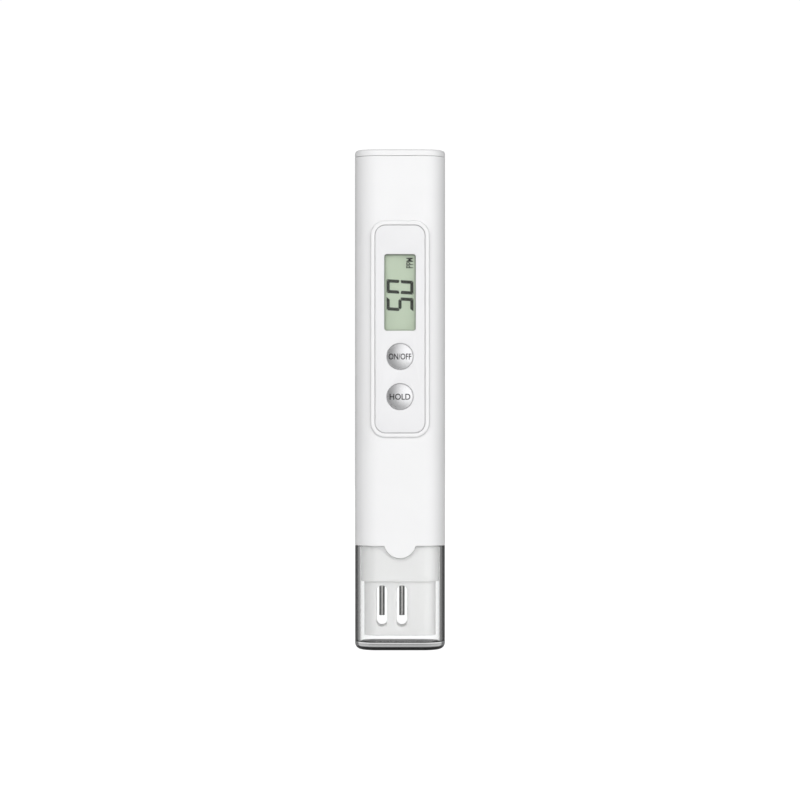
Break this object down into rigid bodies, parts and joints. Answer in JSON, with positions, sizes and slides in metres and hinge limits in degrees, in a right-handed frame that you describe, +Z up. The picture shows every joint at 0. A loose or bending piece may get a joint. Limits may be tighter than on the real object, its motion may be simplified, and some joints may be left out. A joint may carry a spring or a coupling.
{
  "type": "digital water tester",
  "caption": "Pen-shaped digital water tester with a tall display, push buttons and a clear push-on cap over its slotted probe.",
  "frame": {"origin": "centre of the clear cap's flat base, on which the meter stands, on the casing's centre lines", "axes": "+Z up along the meter from the cap to the battery cover, -Y out of the display, +X to the right as one reads the panel"},
  "size_m": [0.028, 0.0161, 0.155],
  "materials": {
    "white_shell": "glossy injection-moulded",
    "panel_plate": "satin",
    "clear_lens": "clear acrylic",
    "lcd": "grey-green display cell",
    "white_inner": "plain",
    "foil": "brushed foil",
    "black_rubber": "matt",
    "board": "solder-masked laminate",
    "steel": "zinc-plated",
    "epoxy": "cast resin",
    "can": "drawn can",
    "chip_black": "matt",
    "chip_tan": "fired",
    "switch_case": "matt",
    "plunger": "matt",
    "button_silver": "satin plating",
    "tray_white": "satin",
    "gilt": "gold-plated spring brass",
    "cell_can": "nickel-plated",
    "wire_red": "insulated wire",
    "probe_white": "satin",
    "pin_steel": "polished",
    "sleeve": "satin",
    "clear_cap": "clear moulded plastic"
  },
  "bodies": {
    "housing": {"front_shell": "white_shell", "rear_shell": "white_shell", "display_panel": "panel_plate", "display_lens": "clear_lens", "lcd_cell": "lcd", "lcd_frame": "white_inner", "lcd_reflector": "foil", "zebra_strips": "black_rubber", "circuit_board": "board", "board_screws": "steel", "controller_chip": "epoxy", "quartz_crystal": "can", "chip_resistors": "chip_black", "chip_capacitors": "chip_tan", "on_off_switch": "switch_case", "hold_switch": "switch_case", "battery_contacts": "gilt", "battery_leads": "wire_red", "probe_head": "probe_white", "probe_seal": "black_rubber", "electrode_pins": "pin_steel", "temperature_sensor": "sleeve", "potting_block": "epoxy", "sensor_leads": "wire_red"},
    "protective_cap": {"protective_cap": "clear_cap"},
    "battery_drawer": {"battery_cover": "white_shell", "cover_seal": "black_rubber", "battery_tray": "tray_white", "cell_link": "gilt", "button_cells": "cell_can"},
    "on_off_key": {"on_off_button": "button_silver", "on_off_plunger": "plunger"},
    "hold_key": {"hold_button": "button_silver", "hold_plunger": "plunger"}
  },
  "joints": [
    {"name": "cap_pull", "type": "slide", "parent": "housing", "child": "protective_cap", "axis": [0, 0, -1], "range_m": [0, 0.04]},
    {"name": "battery_drawer_pull", "type": "slide", "parent": "housing", "child": "battery_drawer", "axis": [0, 0, 1], "range_m": [0, 0.025]},
    {"name": "on_off_press", "type": "slide", "parent": "housing", "child": "on_off_key", "axis": [0, 1, 0], "range_m": [0, 0.0003], "stiffness_N_per_m": 4000},
    {"name": "hold_press", "type": "slide", "parent": "housing", "child": "hold_key", "axis": [0, 1, 0], "range_m": [0, 0.0003], "stiffness_N_per_m": 4000}
  ]
}
